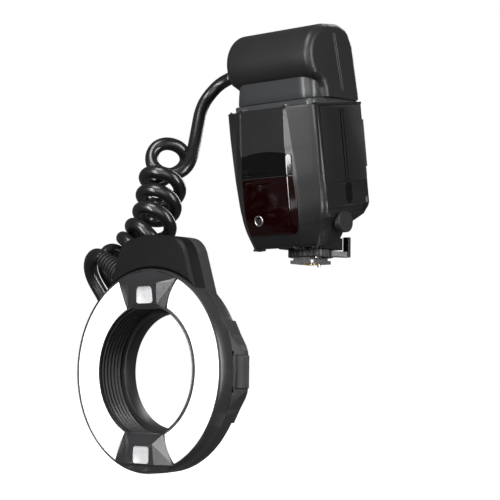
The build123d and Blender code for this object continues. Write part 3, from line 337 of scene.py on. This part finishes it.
M = {
    "casing_black": material("casing_black", (0.0082, 0.0084, 0.009), 0.36, grain=0.35, grain_size=0.00035, cells=0.35, cell_size=0.0007, wear_and_highlight=0.5, wear_and_highlight_rgb=(0.12, 0.12, 0.125)),
    # painted shade: a darker copy of the casing black for the battery door, on the side of the unit that faces away
    # from the lights
    "door_painted_shade": material("door_painted_shade", (0.0035, 0.0035, 0.0039), 0.5, spec=0.4, grain=0.45, grain_size=0.0003, cells=0.4, cell_size=0.0006, wear_and_highlight=0.5, wear_and_highlight_rgb=(0.1, 0.1, 0.1)),
    "head_black": material("head_black", (0.0115, 0.0116, 0.012), 0.42, grain=0.4, grain_size=0.0003, cells=0.35, cell_size=0.0006, wear_and_highlight=0.4, wear_and_highlight_rgb=(0.1, 0.1, 0.1)),
    "neck_grey": material("neck_grey", (0.031, 0.032, 0.0335), 0.3, grain=0.2, grain_size=0.0004, wear_and_highlight=0.3, wear_and_highlight_rgb=(0.15, 0.15, 0.15)),
    "window_black": material("window_black", (0.002, 0.0018, 0.002), 0.12, coat=0.15, coat_rough=0.06, spec=0.35, cloud=0.2, rough_var=0.02, grain=0.03, grain_size=0.004),
    "window_red": material("window_red", (0.0055, 0.0002, 0.0004), 0.11, coat=0.15, coat_rough=0.06, spec=0.35, cloud=0.25, rough_var=0.02, grain=0.03, grain_size=0.004),
    "lens_clear": material("lens_clear", (0.02, 0.022, 0.028), 0.05, coat=0.8, coat_rough=0.02, rough_var=0.02, cloud=0.3),
    # painted glow: emission 0.55 lights the unlit flash diffusers from within so that they read pure white
    "diffuser_white": material("diffuser_white", (0.93, 0.93, 0.925), 0.42, coat=0.1, coat_rough=0.3, emission=0.55, grain=0.06, grain_size=0.0006, cloud=0.015, rough_var=0.05),
    # painted highlight: a pure white edge colour at strength 2.2 draws bright rims round the lamp windows, and emission
    # 0.05 is a faint painted glow on the unlit lamps
    "lamp_lens": material("lamp_lens", (0.47, 0.47, 0.48), 0.3, coat=0.3, coat_rough=0.15, emission=0.05, grain=0.3, grain_size=0.0006, cells=0.8, cell_size=0.0011, cloud=0.1, cloud_size=0.004, wear_and_highlight=2.2, wear_and_highlight_rgb=(1.0, 1.0, 1.0)),
    "segment_grey": material("segment_grey", (0.021, 0.0213, 0.0225), 0.33, grain=0.22, grain_size=0.0004, wear_and_highlight=0.5, wear_and_highlight_rgb=(0.16, 0.16, 0.16)),
    "hump_black": material("hump_black", (0.0025, 0.0025, 0.0028), 0.5, spec=0.25, grain=0.4, grain_size=0.0003, cells=0.3, cell_size=0.0005, wear_and_highlight=0.5, wear_and_highlight_rgb=(0.1, 0.1, 0.1)),
    "ring_black": material("ring_black", (0.029, 0.0293, 0.0303), 0.38, grain=0.35, grain_size=0.00035, cells=0.35, cell_size=0.0007, wear_and_highlight=0.5, wear_and_highlight_rgb=(0.13, 0.13, 0.13)),
    "sleeve_black": material("sleeve_black", (0.006, 0.006, 0.0065), 0.4, grain=0.15, grain_size=0.0005, wear_and_highlight=0.9, wear_and_highlight_rgb=(0.12, 0.12, 0.12)),
    "rubber_black": material("rubber_black", (0.012, 0.012, 0.0125), 0.55, grain=0.4, grain_size=0.0004, cloud=0.15),
    "cord_black": material("cord_black", (0.007, 0.007, 0.0076), 0.27, coat=0.15, coat_rough=0.25, grain=0.12, grain_size=0.0006, cloud=0.2, cloud_size=0.01, rough_var=0.07),
    "metal_bright": material("metal_bright", (0.62, 0.62, 0.61), 0.28, metallic=1.0, scratch=0.6, scratch_axis=(0.06, 1, 1), grain=0.12, grain_size=0.0004, rough_var=0.1),
    "metal_black": material("metal_black", (0.009, 0.009, 0.0095), 0.42, metallic=0.2, scratch=0.3, scratch_axis=(1, 0.05, 1), grain=0.15, grain_size=0.0004, wear_and_highlight=0.7, wear_and_highlight_rgb=(0.25, 0.25, 0.25)),
    "contact_gold": material("contact_gold", (0.78, 0.56, 0.22), 0.25, metallic=1.0, scratch=0.4, grain=0.08, grain_size=0.0003),
    "tube_glass": material("tube_glass", (0.85, 0.88, 0.9), 0.06, transmission=0.85, coat=0.2, cloud=0.03, rough_var=0.02),
    "reflector_bright": material("reflector_bright", (0.82, 0.82, 0.83), 0.18, metallic=1.0, scratch=0.3, grain=0.05, grain_size=0.0006),
    "board_green": material("board_green", (0.015, 0.11, 0.045), 0.32, coat=0.3, cloud=0.3, cloud_size=0.004, grain=0.1, grain_size=0.0005),
    "ceramic": material("ceramic", (0.8, 0.72, 0.25), 0.4, cloud=0.1, cloud_size=0.002, grain=0.1, grain_size=0.0004),
    "copper": material("copper", (0.45, 0.18, 0.08), 0.32, metallic=0.8, scratch=0.8, scratch_axis=(1, 1, 0.05), grain=0.3, grain_size=0.0006),
    "can_sleeve": material("can_sleeve", (0.02, 0.028, 0.07), 0.25, coat=0.4, cloud=0.12, grain=0.05, grain_size=0.001),
    "cell_wrap": material("cell_wrap", (0.16, 0.18, 0.21), 0.25, coat=0.5, cloud=0.1, grain=0.04, grain_size=0.001),
    "lcd_grey": material("lcd_grey", (0.3, 0.34, 0.28), 0.3, cloud=0.04, grain=0.03, grain_size=0.0006),
    # painted shade: near-black for the plate that darkens the door's thumb slot
    "slot_painted_shade": material("slot_painted_shade", (0.0015, 0.0015, 0.0016), 0.8, spec=0.15, grain=0.2, grain_size=0.0004),
    "key_grey": material("key_grey", (0.085, 0.086, 0.09), 0.5, grain=0.35, grain_size=0.0003, wear_and_highlight=0.5, wear_and_highlight_rgb=(0.2, 0.2, 0.2)),
}


def paint(obj, mat):
    me = obj.data
    if not obj.material_slots:
        me.materials.append(mat)
    for s in obj.material_slots:
        s.material = mat


SLOT_OF = {s["node"]: s["material_slot"] for s in frame["record"]["subparts"]}
# the battery door takes the darker copy of the casing black, painted shade for its side
LOOK = {"battery_door": "door_painted_shade"}
BEVEL = {"contact_pins": 0, "button_springs": 0, "cord_lead": 0, "cord_coil": 0, "cord_tail": 0, "flash_tube_left": 0, "flash_tube_right": 0,
         "front_casing": 0.5, "rear_casing": 0.5, "foot_base": 0.4, "terminal_cap": 0.4, "hump_cover": 0.5, "ring_rear_cover": 0.35}
for name, obj in nodes.items():
    paint(obj, M[LOOK.get(name, SLOT_OF[name])])
    width = BEVEL.get(name, 0.6 if SLOT_OF[name] == "lamp_lens" else 0.2)
    if width:
        w = obj.modifiers.new("weld", "WELD"); w.merge_threshold = 2e-6
        bv = obj.modifiers.new("edge", "BEVEL")
        bv.width = width / 1000; bv.segments = 2; bv.limit_method = "ANGLE"; bv.angle_limit = math.radians(38)
        bv.harden_normals = False; bv.use_clamp_overlap = True; bv.miter_outer = "MITER_ARC"

def rounded(points, radii, steps=5):
    """Line with its corners rounded; every call with the same number of corners gives the same number of points."""
    out = [Vector(points[0])]
    runs = []
    for k in range(1, len(points) - 1):
        runs.append(len(out))
        p, a, b = Vector(points[k]), Vector(points[k - 1]), Vector(points[k + 1])
        u, v = a - p, b - p
        lu, lv = u.length, v.length
        if lu < 1e-7 or lv < 1e-7:
            out += [p.copy()] * (steps + 1)
            continue
        u.normalize(); v.normalize()
        half = max(0.05, u.angle(v, math.pi) / 2)
        cut = min(radii[k] / math.tan(half) if half < 1.55 else 0.02, 0.46 * lu, 0.46 * lv)
        cut = max(cut, 0.01)
        s0, s1 = p + u * cut, p + v * cut
        for j in range(steps + 1):
            t = j / steps
            out.append(s0 * (1 - t) ** 2 + p * (2 * t * (1 - t)) + s1 * t * t)
    runs.append(len(out))
    out.append(Vector(points[-1]))
    held = []
    for k, p in enumerate(out):
        if k in runs:
            a = out[k - 1]
            held += [a.lerp(p, 0.06), a.lerp(p, 0.2), a.lerp(p, 0.8), a.lerp(p, 0.94)]
        held.append(p)
    return held


def table(z, rows):
    """Values between the rows of a table whose first column is the height."""
    rows = sorted(rows)
    if z <= rows[0][0]:
        return rows[0][1:]
    for a, b in zip(rows, rows[1:]):
        if z <= b[0]:
            t = (z - a[0]) / (b[0] - a[0])
            return tuple(p + (q - p) * t for p, q in zip(a[1:], b[1:]))
    return rows[-1][1:]


def smooth_table(z, rows, span=3.0):
    """The same, with the table's corners softened over a few millimetres of height."""
    got = [table(z + span * (j - 3) / 3, rows) for j in range(7)]
    w = [1, 2, 3, 4, 3, 2, 1]
    return tuple(sum(g[c] * wi for g, wi in zip(got, w)) / 16 for c in range(len(got[0])))


# height: panel's y' and half width, crease's y' and half width, ridge's y' and half width, start of the flat side (y', half width)
SHELL = [(12.0, -30.5, 15.0, -29.0, 18.0, -20.5, 26.0, -15.0, 28.0), (22.0, -33.9, 16.4, -31.4, 21.0, -22.2, 28.4, -16.8, 31.4),
         (28.0, -35.0, 17.2, -32.2, 22.2, -22.9, 29.9, -18.6, 33.8), (34.0, -35.5, 17.7, -32.6, 22.9, -23.4, 30.9, -19.8, 33.8),
         (54.0, -35.6, 17.5, -33.3, 23.6, -24.0, 32.3, -20.8, 33.8), (73.0, -34.4, 16.8, -33.1, 21.7, -24.3, 33.0, -21.2, 33.8),
         (94.6, -32.4, 16.5, -32.1, 18.8, -24.6, 33.6, -21.6, 33.8)]
CUT = -22.0


def half_section(z, plain=False):
    """Right half of the front shell's outline at a height, from the middle to the split: (x, y')."""
    yf, xf, yc, xc, yr, wr, ys, w = smooth_table(z, SHELL)
    if yr < CUT - 0.6:
        t = (CUT - yr) / (ys - yr)
        g = (wr + (w - wr) * t, CUT)
        e = (wr + 0.6 * max(0.0, min(1.0, (z - 28.0) / 10.0)) * (1.0 if z < 80 else (94.6 - z) / 14.6), yr - 0.1)
    else:
        t = (CUT - yc) / (yr - yc)
        g = (xc + (wr - xc) * t, CUT)
        e = (g[0] - 0.75, CUT - 0.62)
    dx, dy = e[0] - xc, e[1] - yc
    n = math.hypot(dx, dy)
    dx, dy = dx / n, dy / n
    back = min(3.1, n * 0.4)
    d = (e[0] - dx * back + dy * -0.35, e[1] - dy * back - dx * 0.35)
    low = max(0.0, min(1.0, (z - 26.0) / 5.0))
    g2 = ((d[0] + e[0]) / 2 + dy * 0.75 * low, (d[1] + e[1]) / 2 + dx * 0.75 * low)
    up = max(0.0, min(1.0, (z - 68.5) / 3.0)) * max(0.0, min(1.0, (93.8 - z) / 1.2))
    if plain:
        pts = [(0, yf), (xf, yf), (xc, yc), d, g2, e, g]
        return rounded(pts, [0, 1.1, 1.6, 0.7, 0.5, 0.7, 0], 5)
    pts = [(0, yf), (xf - 0.1, yf), (xf + 0.25, yf - 0.5 * up), (xc, yc - 0.25 * up), d, g2, e, g]
    return rounded(pts, [0, 0.25, 0.3, 1.5, 0.7, 0.5, 0.7, 0], 5)


def outwards(bm):
    """Turns the faces so that they look away from the middle of the mesh."""
    bmesh.ops.recalc_face_normals(bm, faces=bm.faces)
    mid = sum((v.co for v in bm.verts), Vector()) / len(bm.verts)
    if sum(f.normal.dot(f.calc_center_median() - mid) * f.calc_area() for f in bm.faces) < 0:
        bmesh.ops.reverse_faces(bm, faces=bm.faces)


def skin(name, rows, closed_ends=False, wrap=False):
    """Mesh through rows of points (metres), each row as long as the next."""
    bm = bmesh.new()
    vs = [[bm.verts.new(p) for p in row] for row in rows]
    for a, b in zip(vs, vs[1:]):
        last = len(a) if wrap else len(a) - 1
        for j in range(last):
            q = (a[j], a[(j + 1) % len(a)], b[(j + 1) % len(a)], b[j])
            if len({v.co.to_tuple(7) for v in q}) >= 3:
                bm.faces.new(q)
    if closed_ends:
        bm.faces.new(list(reversed(vs[0])))
        bm.faces.new(vs[-1])
    bmesh.ops.remove_doubles(bm, verts=bm.verts, dist=1e-7)
    bmesh.ops.dissolve_degenerate(bm, dist=1e-7, edges=bm.edges)
    outwards(bm)
    me = bpy.data.meshes.new(name)
    bm.to_mesh(me)
    bm.free()
    for p in me.polygons:
        p.use_smooth = True
    return link(bpy.data.objects.new(name, me))


def finish_mesh(obj, mat, slot, body, *cad, thick=0.0, angle=40):
    """Material, body and the CAD nodes that a mesh stands for, the slot argument not used; sharp edges stay sharp."""
    paint(obj, M[mat])
    me = obj.data
    bm = bmesh.new(); bm.from_mesh(me)
    for e in bm.edges:
        if len(e.link_faces) == 2:
            e.smooth = e.calc_face_angle(0.0) < math.radians(angle)
    bm.to_mesh(me); bm.free()
    if thick:
        so = obj.modifiers.new("wall", "SOLIDIFY"); so.thickness = thick; so.offset = -1
    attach(obj, body)
    if cad:
        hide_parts(*cad)
    return obj


def inset(points, by):
    """Outline (x, y') moved inwards by some millimetres, not past the split."""
    out = []
    for k, p in enumerate(points):
        a, b = points[max(0, k - 1)], points[min(len(points) - 1, k + 1)]
        t = b - a
        n = Vector((-t.y, t.x)).normalized() if t.length else Vector((0, 1))
        q = p + n * by
        out.append(Vector((max(0.0, q.x), min(CUT, q.y))))
    return out


heights = [(12.0 + 2.4 * (1 - math.cos(math.radians(a))), 2.4 * (1 - math.sin(math.radians(a)))) for a in (0, 15, 30, 45, 60, 75, 90)]
heights += [(14.4 + k * 1.3, 0.0) for k in range(1, 62) if 14.4 + k * 1.3 < 93.4] + [(93.6, 0.0), (94.1, 0.12), (94.45, 0.4), (94.6, 0.9)]
rows = []
first = half_section(14.0)
rows.append([world(s * p.x, CUT, 12.0) for s, line in ((1, first[::-1]), (-1, first[1:])) for p in line])
for z, by in heights:
    half = half_section(z)
    if by:
        half = inset(half, by)
    half[0].x = 0.0
    rows.append([world(s * p.x, p.y, z) for s, line in ((1, half[::-1]), (-1, half[1:])) for p in line])
last = half_section(94.6)
rows.append([world(s * p.x, CUT, 94.6) for s, line in ((1, last[::-1]), (-1, last[1:])) for p in line])
shell = skin("front_shell", rows)
finish_mesh(shell, "casing_black", "casing_black", "control_unit", "front_casing", thick=0.0014)


def window(name, z0, top, side, mat, slot, node, marks=()):
    """Glossy window laid round the front shell: heights, half lengths along the outline, and low raised marks (x, z, half w, half h, rise)."""
    zt = top(0.0)
    zs = [z0, z0 + 0.12, z0 + 0.4]
    z = z0 + 0.9
    while z < zt - 0.7:
        zs.append(z); z += 0.45
    zs += [zt - 0.4, zt - 0.12, zt]
    front, back = [], []
    for z in zs:
        half = half_section(z, plain=True)
        run = [0.0]
        for a, b in zip(half, half[1:]):
            run.append(run[-1] + (b - a).length)
        def sample(lim):
            us = [0.0, 0.05, 0.1, 0.15, 0.2, 0.25, 0.3, 0.35, 0.4, 0.45, 0.5, 0.55, 0.6, 0.64, 0.68, 0.71, 0.735, 0.76, 0.785, 0.81, 0.84, 0.87, 0.9, 0.93, 0.96]
            ss = [u * lim for u in us] + [max(0.0, lim - 0.4), max(0.0, lim - 0.12), lim]
            rowf, rowb = [], []
            for s in ss:
                k = max(0, min(len(run) - 2, next((j for j in range(len(run) - 1) if run[j + 1] >= s), len(run) - 2)))
                a, b = half[k], half[k + 1]
                t = (b - a)
                tt = 0.0 if t.length < 1e-9 else (s - run[k]) / t.length
                p = a + t * tt
                n = Vector((t.y, -t.x)).normalized() if t.length > 1e-9 else Vector((0, -1))
                edge = min(lim - s, z - z0, zt - z)
                h = 0.3 if edge > 0.35 else (0.16 if edge > 0.1 else -0.15)
                rowf.append((p, n, h, s)); rowb.append((p, n, -0.6, s))
            return rowf, rowb

        def make(r, sign):
            out = []
            for p, n, h, s in r:
                x = p.x * sign
                rise = h
                if h > 0.25:
                    for mx, mz, hw, hh, up in marks:
                        rise += up * max(0.0, min(1.0, (hw - abs(x - mx)) / 0.6)) * max(0.0, min(1.0, (hh - abs(z - mz)) / 0.35))
                out.append(world(sign * (p.x + n.x * rise), p.y + n.y * rise, z))
            return out
        rf, rb = sample(side(z))
        lf, lb = sample(min(side(z), table(z, SHELL)[1] - 0.1))
        front.append(make(rf, 1)[::-1] + make(lf, -1)[1:])
        back.append(make(rb, 1)[::-1] + make(lb, -1)[1:])
    loops = [f + b[::-1] for f, b in zip(front, back)]
    ob = skin(name, loops, closed_ends=False, wrap=True)
    bm = bmesh.new(); bm.from_mesh(ob.data)
    bmesh.ops.holes_fill(bm, edges=[e for e in bm.edges if e.is_boundary], sides=0)
    outwards(bm)
    bm.to_mesh(ob.data); bm.free()
    for p in ob.data.polygons:
        p.use_smooth = True
    return finish_mesh(ob, mat, slot, "control_unit", node)


def upper_side(z):
    base = 21.6
    if z > 60.5:
        k = min(1.0, (z - 60.5) / 8.9)
        base = 21.6 * math.sqrt(max(0.0, 1 - max(0.0, (z - 66.4) / 3.0) ** 1.0)) if z > 66.4 else 21.6 - 1.2 * k ** 3
        if z > 66.4:
            base = 20.7 * math.sqrt(max(0.0, 1 - (z - 66.4) / 3.0))
    return max(0.02, base)


def lower_side(z):
    lim = table(z, [(20.0, 19.8), (25.0, 21.2), (30.0, 22.2), (40.0, 22.9), (47.0, 22.6), (54.2, 21.8)])[0]
    r = 3.2
    if z < 20.0 + r:
        lim -= r - math.sqrt(max(0.0, r * r - (20.0 + r - z) ** 2))
    return lim


upper = window("upper_window", 54.5, lambda x: 69.4, upper_side, "window_black", SLOT_OF["front_window"], "front_window",
               marks=[(-0.5, 57.6, 14.6, 0.75, 0.22)])
lower = window("lower_window", 20.0, lambda x: 54.2, lower_side, "window_red", SLOT_OF["red_window"], "red_window",
               marks=[(-0.5, 51.4, 14.6, 0.6, 0.12), (-4.6, 46.2, 1.8, 0.7, 0.15)])


# ---- head: barrel in front, wedge-shaped back, cheeks that reach down to the neck
HYZ, HR = (-5.6, 122.4), 19.1
head_pts = [(HYZ[0] + HR * math.cos(math.radians(a)), HYZ[1] + HR * math.sin(math.radians(a))) for a in range(84, 217, 6)]
head_line = [Vector(p) for p in head_pts]
head_line += rounded([head_pts[-1], (-14.6, 107.6), (-13.2, 104.0), (-13.0, 98.4), (21.2, 95.3), (18.8, 128.0), (15.0, 137.6), (7.0, 141.2), (HYZ[0] + 1.6, 141.46)],
                     [0, 3.5, 2.5, 0.5, 1.6, 14.0, 9.0, 12.0, 0], 6)[1:-1]
R_END = 4.4


def shrink(line, by):
    """Closed outline moved inwards, its normals smoothed so that hollow corners don't cross."""
    n = len(line)
    normals = []
    for k in range(n):
        a, b = line[k - 1], line[(k + 1) % n]
        t = b - a
        normals.append(Vector((t.y, -t.x)).normalized() if t.length else Vector((0, 0)))
    area2 = sum(line[k].x * line[(k + 1) % n].y - line[(k + 1) % n].x * line[k].y for k in range(n))
    sign = -1.0 if area2 > 0 else 1.0
    out = []
    for k in range(n):
        m = sum((normals[(k + j) % n] * w for j, w in ((-2, 1), (-1, 2), (0, 3), (1, 2), (2, 1))), Vector((0, 0))).normalized()
        p = line[k]
        q = p + m * by * sign
        low = max(0.0, min(1.0, (102.5 - p.y) / 2.5))          # the lower edge stays where it is, only its ends draw in
        flat = Vector((-13.0 + by + (p.x + 13.0) * (34.2 - 2 * by) / 34.2, p.y))
        out.append(q.lerp(flat, low))
    return out


GROOVE = 1.3       # depth of the upright groove in each cheek
head_rows = []
xs = []
for a in range(0, 91, 9):
    xs.append((29.0 + R_END * math.sin(math.radians(a)), R_END * (1 - math.cos(math.radians(a)))))
side_rows = [(x, by) for x, by in xs]
ribs = [(-s * x, by) for s in (1,) for x, by in reversed(side_rows)] + [(-14.5, 0.0), (0.0, 0.0), (14.5, 0.0)] + side_rows
for x, by in ribs:
    line = shrink(head_line, by) if by > 1e-6 else head_line
    head_rows.append([world(x, p.x, p.y) for p in line])
# flat cheeks: the outline drawn in towards its middle
mid = Vector((4.0, 116.0))


def cheek_rows(sign):
    base = shrink(head_line, R_END)
    out = []
    for f in (0.985, 0.94):
        out.append([world(sign * 33.4, *(mid + (p - mid) * f)) for p in base])
    return out


right_cheek, left_cheek = cheek_rows(1), cheek_rows(-1)
head_all = list(reversed(left_cheek)) + head_rows + right_cheek
head = skin("unit_head", head_all, closed_ends=True, wrap=True)


def rib(a, b, half, x, rise):
    """Low rounded rib on a flat side at x, from a to b (y', z')."""
    a, b = Vector(a), Vector(b)
    t = (b - a).normalized(); n = Vector((-t.y, t.x))
    prof = [(-half, -0.3), (-half, 0.0), (-half * 0.72, rise * 0.75), (-half * 0.3, rise), (half * 0.3, rise), (half * 0.72, rise * 0.75), (half, 0.0), (half, -0.3)]
    L = (b - a).length
    side = 1 if x > 0 else -1
    cuts = [(0.0, 0.05, 0.35), (0.35, 0.6, 0.8), (1.1, 1.0, 1.0), (L - 1.1, 1.0, 1.0), (L - 0.35, 0.6, 0.8), (L, 0.05, 0.35)]
    return skin("rib", [[world(x + side * (h if h < 0 else h * k), *(a + t * d + n * (w * q))) for w, h in prof] for d, k, q in cuts], closed_ends=True, wrap=True)


def join(obj, others):
    """Puts the other meshes into the first object's mesh."""
    bm = bmesh.new(); bm.from_mesh(obj.data)
    for o in others:
        bm.from_mesh(o.data)
        om = o.data
        bpy.data.objects.remove(o)
        bpy.data.meshes.remove(om)
    bm.to_mesh(obj.data); bm.free()
    for p in obj.data.polygons:
        p.use_smooth = True


join(head, [rib((0.2 + d, 135.6), (3.9 + d, 100.6), 0.6, sx * 33.4, 0.4) for sx in (1, -1) for d in (-0.75, 0.75)])
finish_mesh(head, "head_black", SLOT_OF["head_front_cover"], "control_unit", "head_front_cover", "head_rear_cover", angle=50)


# ---- neck: low ring, then a wall that rises under the barrel
def neck_line(yf, xf, w, yb, r):
    return rounded([(0, yf), (w, yf), (w, yb)], [0, r, 0], 12)


def neck_rows(levels):
    rows = []
    for z, yf, w, yb, r in levels:
        half = neck_line(yf, 0, w, yb, r)
        rows.append([world(s * p.x, p.y, z) for s, line in ((1, half[::-1]), (-1, half[1:])) for p in line])
    return rows


ring_rows = []
for z, by in ((94.62, 0.5), (94.8, 0.0), (97.6, 0.0), (98.1, 0.35), (98.2, 1.1)):
    half = rounded([(0, -23.0 + by), (30.6 - by, -23.0 + by), (31.5 - by, -12.5), (31.5 - by, 20.6 - by), (0, 20.6 - by)], [0, 9.0, 0.4, 3.0, 0], 10)
    loop = half + [Vector((-p.x, p.y)) for p in half[-2:0:-1]]
    ring_rows.append([world(p.x, p.y, min(z, 98.25 - max(0.0, p.y + 13.2) * 0.0907 - (98.2 - z) * 0.06)) for p in loop])
neck_low = skin("neck_ring", ring_rows, closed_ends=True, wrap=True)
finish_mesh(neck_low, "neck_grey", SLOT_OF["neck_collar"], "control_unit", "neck_collar", angle=60)
neck_up = skin("neck_wall", neck_rows([(98.25, -21.6, 29.4, 4, 8.2), (98.4, -22.3, 30.1, 4, 8.8), (98.9, -22.6, 30.4, 4, 9.0), (103.0, -22.2, 30.1, 4, 9.0), (108.0, -21.6, 29.6, 4, 9.0), (114.5, -20.4, 28.8, 4, 9.0)]), closed_ends=True, wrap=True)
finish_mesh(neck_up, "neck_grey", SLOT_OF["neck_collar"], "control_unit", angle=60)


# ---- painted shade: a near-black plate on the floor of the door's thumb slot
slot_line = []
for cz, a0 in ((3.4, 0), (-3.4, 180)):
    for a in range(a0, a0 + 181, 15):
        slot_line.append((1.4 + 2.85 * math.cos(math.radians(a)), 41.0 + cz + 2.85 * math.sin(math.radians(a))))
thumb = skin("thumb_slot_painted_shade", [[world(x, *p) for p in slot_line] for x in (33.8 - 1.0, 33.8 - 0.72)], closed_ends=True, wrap=True)
finish_mesh(thumb, "slot_painted_shade", SLOT_OF["battery_door"], "door")

# ---- release springs, cut into a right and a left half, each hung on the ring head
src = nodes["button_springs"]
for side, sx in (("right", 1.0), ("left", -1.0)):
    bm = bmesh.new(); bm.from_mesh(src.data); bm.transform(src.matrix_world)
    bmesh.ops.delete(bm, geom=[v for v in bm.verts if v.co.x * sx < 0], context="VERTS")
    me = bpy.data.meshes.new("release_springs_" + side)
    bm.to_mesh(me); bm.free()
    spring = link(bpy.data.objects.new("release_springs_" + side, me))
    paint(spring, M[SLOT_OF["button_springs"]])
    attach(spring, "ring_head")
    if side == "right":
        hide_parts("button_springs")
    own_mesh(spring)


# the cord is one piece from the head to the ring, and bends between them
paint(cord, M["cord_black"])
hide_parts("cord_lead", "cord_coil", "cord_tail")
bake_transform(cord)

# ------------------------------------------------------------------ floor, light
def plane(name, size, z):
    bm = bmesh.new()
    bmesh.ops.create_grid(bm, x_segments=2, y_segments=2, size=size)
    me = bpy.data.meshes.new(name); bm.to_mesh(me); bm.free()
    ob = link(bpy.data.objects.new(name, me)); ob.location.z = z
    return ob


floor = plane("floor", 6.0, cad_box[0][2] - 0.0008)
floor.visible_diffuse = False
floor.visible_glossy = False
floor_mat = material("floor_pale", (0.93, 0.93, 0.935), 0.6, emission=1.05, cloud=0.01, grain=0.02, grain_size=0.01)
paint(floor, floor_mat)

wd = bpy.data.worlds.new("studio")
scene.world = wd
wd.use_nodes = True
wn, wl = wd.node_tree.nodes, wd.node_tree.links
wn.clear()
out = wn.new("ShaderNodeOutputWorld")
bg = wn.new("ShaderNodeBackground"); bg.inputs["Color"].default_value = (1, 1, 1, 1); bg.inputs["Strength"].default_value = 0.12
bgc = wn.new("ShaderNodeBackground"); bgc.inputs["Color"].default_value = (1, 1, 1, 1); bgc.inputs["Strength"].default_value = 1.0
lp = wn.new("ShaderNodeLightPath"); mixw = wn.new("ShaderNodeMixShader")
wl.new(lp.outputs["Is Camera Ray"], mixw.inputs["Fac"])
wl.new(bg.outputs[0], mixw.inputs[1]); wl.new(bgc.outputs[0], mixw.inputs[2])
wl.new(mixw.outputs[0], out.inputs["Surface"])
scene.view_settings.view_transform = "Standard"

aim = Vector((-0.01, -0.07, 0.02))


def area(name, right, up, near, size, power, size_y=None, aim_at=aim):
    d = bpy.data.lights.new(name, "AREA")
    d.energy = power; d.size = size
    if size_y:
        d.shape = "RECTANGLE"; d.size_y = size_y
    o = link(bpy.data.objects.new(name, d))
    o.location = aim + R * right + U * up - F * near
    o.rotation_euler = (aim_at - o.location).to_track_quat("-Z", "Y").to_euler()
    return o


area("key", -0.35, 0.95, 0.55, 0.5, 10.5)
area("side_strip", 0.80, 0.10, 0.60, 0.2, 11.0, 0.95)
area("front_strip", -0.75, 0.05, 0.68, 0.16, 12.0, 0.85)
area("front_fill", -0.15, 0.25, 1.25, 1.0, 8.0)
area("rim", 0.45, 0.45, -0.75, 0.25, 4.0, 0.8)
